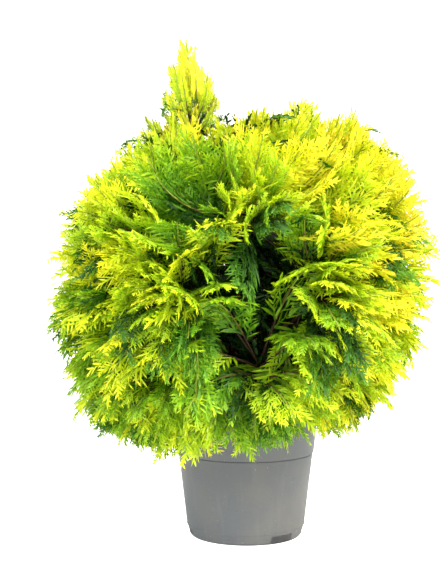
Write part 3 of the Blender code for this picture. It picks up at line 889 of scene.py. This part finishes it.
# sprays spiral round their mass's axis, spread wide at its foot and close to it at its tip
def sprayRule(mass):
    draw = random.Random(crown["seed"] + mass["number"])
    axis = (mass["tip"] - mass["core"]).normalized()
    helper = Vector((0, 0, 1)) if abs(axis.z) < 0.9 else Vector((1, 0, 0))
    first = axis.cross(helper).normalized()
    second = axis.cross(first).normalized()
    turn = draw.uniform(0, math.tau)
    sprays = []
    for k in range(foliage["places"]):
        share = (k + 0.5) / foliage["places"]
        angle = turn + k * foliage["golden"] + draw.uniform(-crown["angleJitter"], crown["angleJitter"])
        spread = mass["splay"] * (1 - share) ** crown["splayPower"] + crown["narrowest"]
        spread = math.radians(spread + draw.uniform(-crown["splayJitter"], crown["splayJitter"]))
        aside = first * math.cos(angle) + second * math.sin(angle)
        direction = (axis * math.cos(spread) + aside * math.sin(spread)).normalized()
        start = mass["core"] + axis * crown["coreRadius"] * (share - 0.5) * crown["coreSpan"]
        reach = crownReach(start, direction, mass) * draw.uniform(*foliage["reachRange"])
        reach *= foliage["strayFullness"] if k % foliage["strayEvery"] == 2 else foliage["fullness"]
        if mass["spindle"]:
            reach *= foliage["plumeFullness"]
        length = max(foliage["shortest"], min(foliage["longest"], reach))
        sprays.append(bentSpray(mass, start, direction, length, "outer", draw))
    return sprays


# a spray leaves its start one way and bends until its tip lies along the crown's outward flow
def bentSpray(mass, start, direction, length, kind, draw):
    outward = (start + direction * length - crown["centre"]).normalized()
    stray = foliage["stray"] * Vector([draw.uniform(-1, 1) for _ in range(3)])
    along = direction * foliage["along"]
    flow = (outward + along + stray - Vector((0, 0, mass["droop"]))).normalized()
    tilt = foliage["scatter"][kind] * Vector([draw.uniform(-1, 1) for _ in range(3)])
    face = outward + Vector((0, 0, foliage["faceUp"])) + tilt
    return {
        "start": start,
        "direction": direction,
        "flow": flow,
        "across": flow.cross(face).normalized(),
        "length": length,
    }


# points of a unit spray placed on its curved sheet
def placePoints(unit, one):
    length = one["length"]
    keys = ("start", "direction", "flow", "across")
    start, direction, flow, wide = (np.array(one[key]) for key in keys)
    tip = start + direction * length
    bend = tip - flow * length * foliage["bend"]
    share = unit[..., 0:1]
    aside, lift = unit[..., 1:2] * length, unit[..., 2:3] * length
    centre = start * (1 - share) ** 2 + bend * 2 * share * (1 - share) + tip * share * share
    slope = (bend - start) * (1 - share) + (tip - bend) * share
    slope /= np.linalg.norm(slope, axis=-1, keepdims=True)
    across = wide - slope * (slope @ wide)[..., None]
    across /= np.linalg.norm(across, axis=-1, keepdims=True)
    above = np.cross(across, slope)
    curl = foliage["curl"] * aside * aside / length
    return centre + across * aside + above * (lift - curl)


# whether a spray's outer half keeps out of the hollows, off the pot and above the crown's floor
def sprayFits(one, openness=1.0):
    clear = foliage["clear"]
    for point in placePoints(np.array([(0.45, 0, 0), (0.7, 0, 0), (1.0, 0, 0)]), one):
        point = Vector(point)
        if any((point - centre).length < radius * openness for centre, radius in foliage["windows"]):
            return False
        overPot = math.hypot(point.x, point.y) < pot["lipRadius"] + clear
        if overPot and point.z < pot["height"] + clear:
            return False
        if point.z < crown["floor"] - clear:
            return False
    return True


# how golden a spray is: by depth, with painted shade within; by painted light on the right and on the top;
# and by painted shade round the hollows
def sprayTone(one, draw):
    tip = one["start"] + one["direction"] * one["length"]
    away = tip - crown["centre"]
    nearest = min((tip - centre).length - radius for centre, radius in foliage["windows"])
    level = toneRule["base"]
    level += toneRule["depth"] * min(1.0, away.length / toneRule["reach"])
    # painted light: lighter towards the right, and towards the top
    level += toneRule["side"] * (0.5 + 0.5 * away.x / toneRule["reach"])
    level += toneRule["height"] * (0.5 + 0.5 * away.z / toneRule["rise"])
    level -= toneRule["shade"] * max(0.0, 1 - nearest / toneRule["shadeReach"])
    return level + draw.uniform(-toneRule["spread"], toneRule["spread"])


# short sprays about a mass's middle, painted dark as its shade, most of them turned inwards
def innerSprays(mass, draw):
    sprays = []
    outward = (mass["core"] - crown["centre"]).normalized()
    for k in range(foliage["inner"]):
        inward = foliage["innerTurns"][0 if k % 3 else 1]
        direction = (Vector([draw.gauss(0, 1) for _ in range(3)]) - outward * inward).normalized()
        reach = crownReach(mass["core"], direction, mass) * foliage["innerFullness"]
        length = max(foliage["innerShortest"], min(reach, draw.uniform(*foliage["innerRange"])))
        sprays.append(bentSpray(mass, mass["core"], direction, length, "inner", draw))
    return sprays


# green sprays that hang in the shade under a mass
def hangingSprays(mass, draw):
    sprays = []
    outward = (mass["core"] - crown["centre"]).normalized()
    for _ in range(foliage["hanging"]):
        stray = foliage["hangingStray"] * Vector([draw.uniform(-1, 1) for _ in range(3)])
        down = Vector((0, 0, foliage["hangingDown"]))
        direction = (outward * foliage["hangingOutward"] + stray - down).normalized()
        reach = crownReach(mass["core"], direction, mass) * foliage["hangingFullness"]
        length = max(foliage["shortest"], min(reach, draw.uniform(*foliage["hangingRange"])))
        one = bentSpray(mass, mass["core"], direction, length, "hanging", draw)
        one["flow"] = (one["flow"] - Vector((0, 0, foliage["hangingSag"]))).normalized()
        sprays.append(one)
    return sprays


def toneMaterials(name, colours, roughness, specular):
    return [newMaterial(f"{name}_{k + 1}", colour, roughness, specular) for k, colour in enumerate(colours)]


def makeFoliage(masses):
    draws = np.random.default_rng(crown["seed"])
    seed, count, innerCount = crown["seed"], foliage["patterns"], foliage["innerPatterns"]
    broad = [patternMesh(sprayPattern(seed * 10 + k, spray), draws) for k in range(count)]
    slender = [patternMesh(sprayPattern(seed * 10 + k, plumeSpray), draws) for k in range(count)]
    inner = [patternMesh(sprayPattern(seed * 20 + k, innerSpray), draws) for k in range(innerCount)]
    tones = toneMaterials("foliage_tone", foliage["tones"], 0.55, 0.35)
    twigTones = toneMaterials("twig_tone", foliage["twigTones"], 0.7, 0.3)
    gain, innerGain = toneRule["gain"], toneRule["innerGain"]
    total = 0
    for mass in masses:
        draw = random.Random(seed + 2000 + mass["number"])
        parts, stalks = [], []
        outer = slender if mass["spindle"] else broad
        for one in sprayRule(mass):
            if sprayFits(one):
                parts.append((one, outer[draw.randrange(len(outer))], sprayTone(one, draw), gain))
                stalks.append(stalkPoints(one))
        for one in innerSprays(mass, draw):
            if sprayFits(one):
                pattern = inner[draw.randrange(len(inner))]
                # the darkest tones: painted shade in the mass's middle
                parts.append((one, pattern, draw.uniform(*toneRule["inner"]), innerGain))
        for one in hangingSprays(mass, draw):
            if sprayFits(one, foliage["hangingOpenness"]):
                pattern = outer[draw.randrange(len(outer))]
                # darker tones: painted shade under the mass
                parts.append((one, pattern, draw.uniform(*toneRule["hanging"]), gain))
        points, triangles, slots = [], [], []
        base = 0
        for one, (unit, faces, tone), level, rise in parts:
            points.append(placePoints(unit, one))
            triangles.append(faces + base)
            dealt = np.rint(level + rise * (tone - toneRule["middle"]))
            slots.append(np.clip(dealt, 0, len(tones) - 1).astype(int))
            base += len(unit)
        points, triangles, slots = (np.concatenate(rows) for rows in (points, triangles, slots))
        leaves = makeTriangles("sprays_of_" + mass["name"], points, triangles, slots, tones)
        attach(leaves, "root")
        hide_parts("mass_" + mass["name"])
        total += len(triangles)
        makeTwigs(mass, stalks, twigTones)
    print("foliage triangles", total)


twigs = {
    "rings": 9,                  # along a spray's own axis
    "end": 0.97,                 # where the axis ends, as a share of the spray
    "tipRadius": 0.0006,
    "swell": 0.0006,             # how much thicker it is at its foot
    "brownRings": 2,             # the oldest wood, painted darker as shade in the crown's middle, then olive, then green
    "oliveRings": 4,
    "stemRadius": 0.0018,
    "stemTaper": 0.12,           # from ring to ring
    "stemSides": 6,
    "stemSteps": 6,
}


# a spray's own axis: a three-sided taper from the mass's middle to the spray's tip
def stalkPoints(one):
    shares = np.linspace(0, twigs["end"], twigs["rings"])
    unit = np.zeros((len(shares), 3, 3))
    radius = (twigs["swell"] * (1 - shares) + twigs["tipRadius"]) / one["length"]
    for k in range(3):
        turn = math.tau * k / 3
        unit[:, k, 0] = shares
        unit[:, k, 1] = radius * math.cos(turn)
        unit[:, k, 2] = radius * math.sin(turn)
    return placePoints(unit, one)


def makeTwigs(mass, stalks, materials):
    points, triangles, slots = [], [], []
    base = 0
    for stalk in stalks:
        rings = len(stalk)
        points.append(stalk.reshape(-1, 3))
        for i in range(rings - 1):
            wood = 0 if i < twigs["brownRings"] else 1 if i < twigs["oliveRings"] else 2
            for k in range(3):
                a, b = base + i * 3 + k, base + i * 3 + (k + 1) % 3
                c, d = a + 3, b + 3
                triangles += [(a, b, d), (a, d, c)]
                slots += [wood] * 2
        triangles += [(base, base + 2, base + 1)]
        slots.append(0)
        base += rings * 3
    # the mass's own stem, on from its bough's tip
    start, steps = mass["boughTip"], twigs["stemSteps"]
    path = bezier(start, start.lerp(mass["core"], 0.5), mass["core"].lerp(mass["tip"], 0.25), steps)
    radii = [twigs["stemRadius"] * (1 - twigs["stemTaper"] * i) for i in range(steps + 1)]
    stemTube, stemFaces = barkTube(path, radii, twigs["stemSides"], random.Random(1))
    points.append(np.array([tuple(p) for p in stemTube]))
    for face in stemFaces:
        for i in range(1, len(face) - 1):
            triangles.append((base + face[0], base + face[i], base + face[i + 1]))
            slots.append(0)
    wood = makeTriangles("twigs_of_" + mass["name"], np.concatenate(points), triangles, slots, materials)
    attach(wood, "root")


makeFoliage(masses)
print("foliage ready")
